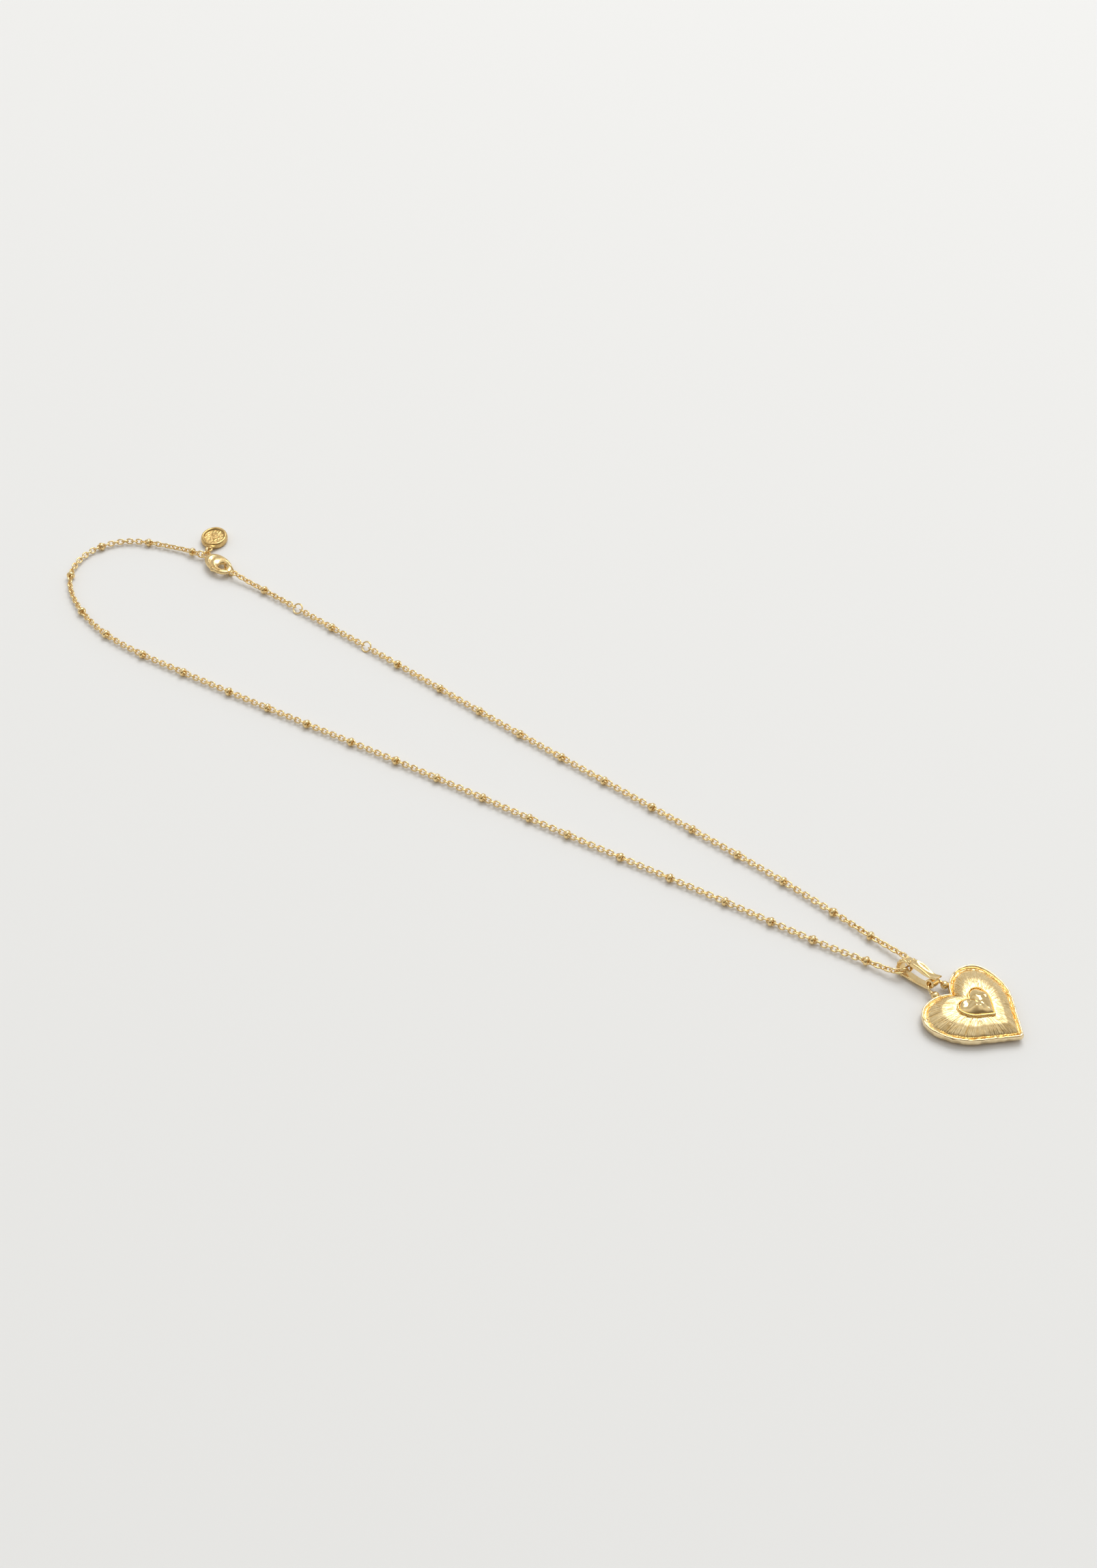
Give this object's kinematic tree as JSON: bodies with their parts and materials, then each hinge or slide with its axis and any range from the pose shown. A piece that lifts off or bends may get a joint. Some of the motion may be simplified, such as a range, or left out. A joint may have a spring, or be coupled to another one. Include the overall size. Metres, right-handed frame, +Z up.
{
  "type": "pendant necklace",
  "caption": "Domed heart pendant on a hinged clip bail, hung on a fine cable chain with spaced disc beads, a lobster clasp, sizing rings and a small round tag.",
  "frame": {"origin": "the middle of the heart's flat back, on the surface that the necklace lies on", "axes": "+Z up out of the heart's face, -Y towards the heart's tip, +Y along the chain towards the clasp, +X to the right seen from above"},
  "size_m": [0.0504, 0.2797, 0.0049],
  "materials": {
    "chain_gold": "polished",
    "bead_gold": "polished",
    "engraved_gold": "satin, engraved with radiating lines",
    "hammered_gold": "polished, hammered",
    "polished_gold": "mirror polished",
    "granulated_gold": "polished grains",
    "charm_gold": "polished edge, grained face",
    "clasp_gold": "polished",
    "smooth_gold": "polished",
    "pin_steel": "polished"
  },
  "bodies": {
    "chain": {"chain_span_01": "chain_gold", "chain_span_02": "chain_gold", "chain_span_03": "chain_gold", "chain_span_04": "chain_gold", "chain_span_05": "chain_gold", "chain_span_06": "chain_gold", "chain_span_07": "chain_gold", "chain_span_08": "chain_gold", "chain_span_09": "chain_gold", "chain_span_10": "chain_gold", "chain_span_11": "chain_gold", "chain_span_12": "chain_gold", "station_beads": "bead_gold", "chain_jump_ring": "clasp_gold", "charm_jump_ring": "clasp_gold", "end_ring": "clasp_gold", "clasp_claw": "clasp_gold", "clasp_pivot": "pin_steel"},
    "adjuster_1": {"adjuster_ring_1": "clasp_gold"},
    "adjuster_2": {"adjuster_ring_2": "clasp_gold"},
    "bail": {"bail_frame": "smooth_gold", "bail_barrel": "smooth_gold", "bail_pin": "pin_steel", "bail_granules": "granulated_gold"},
    "gate": {"bail_gate": "smooth_gold"},
    "pendant": {"heart_back": "smooth_gold", "heart_rim": "hammered_gold", "heart_dome": "engraved_gold", "inner_bezel": "smooth_gold", "inner_heart": "polished_gold", "hanger_wire": "smooth_gold", "hanger_balls": "smooth_gold", "hanger_collars": "smooth_gold"},
    "lever": {"clasp_lever": "clasp_gold"},
    "charm": {"charm_disc": "charm_gold", "charm_studs": "charm_gold"}
  },
  "joints": [
    {"name": "bail_swing", "type": "hinge", "parent": "chain", "child": "bail", "pos_m": [0.00061, 0.01892, 0.0022], "axis": [-0.9412, 0.0958, 0.3241], "range_deg": [-20, 20]},
    {"name": "gate_hinge", "type": "hinge", "parent": "bail", "child": "gate", "pos_m": [0.00116, 0.01887, 0.00381], "axis": [-0.9412, 0.0958, 0.3241], "range_deg": [0, 60]},
    {"name": "pendant_swing", "type": "hinge", "parent": "bail", "child": "pendant", "pos_m": [0, 0.01255, 0.00245], "axis": [-1, 0, 0], "range_deg": [-70, 40]},
    {"name": "lever_pivot", "type": "hinge", "parent": "chain", "child": "lever", "pos_m": [0.00323, 0.24012, 0.00175], "axis": [0, 0, 1], "range_deg": [0, 8], "stiffness_Nm_per_rad": 0.004, "springref_deg": -11.46},
    {"name": "charm_swing", "type": "hinge", "parent": "chain", "child": "charm", "pos_m": [0.00673, 0.24392, 0.0015], "axis": [0, 0, 1], "range_deg": [-40, 40]},
    {"name": "adjuster_1_roll", "type": "hinge", "parent": "chain", "child": "adjuster_1", "pos_m": [0.00475, 0.18498, 0.00113], "axis": [-0.0071, 1, 0], "range_deg": [-20, 20]},
    {"name": "adjuster_2_roll", "type": "hinge", "parent": "chain", "child": "adjuster_2", "pos_m": [0.00451, 0.20892, 0.00113], "axis": [-0.0118, 0.9999, 0], "range_deg": [-20, 20]}
  ]
}
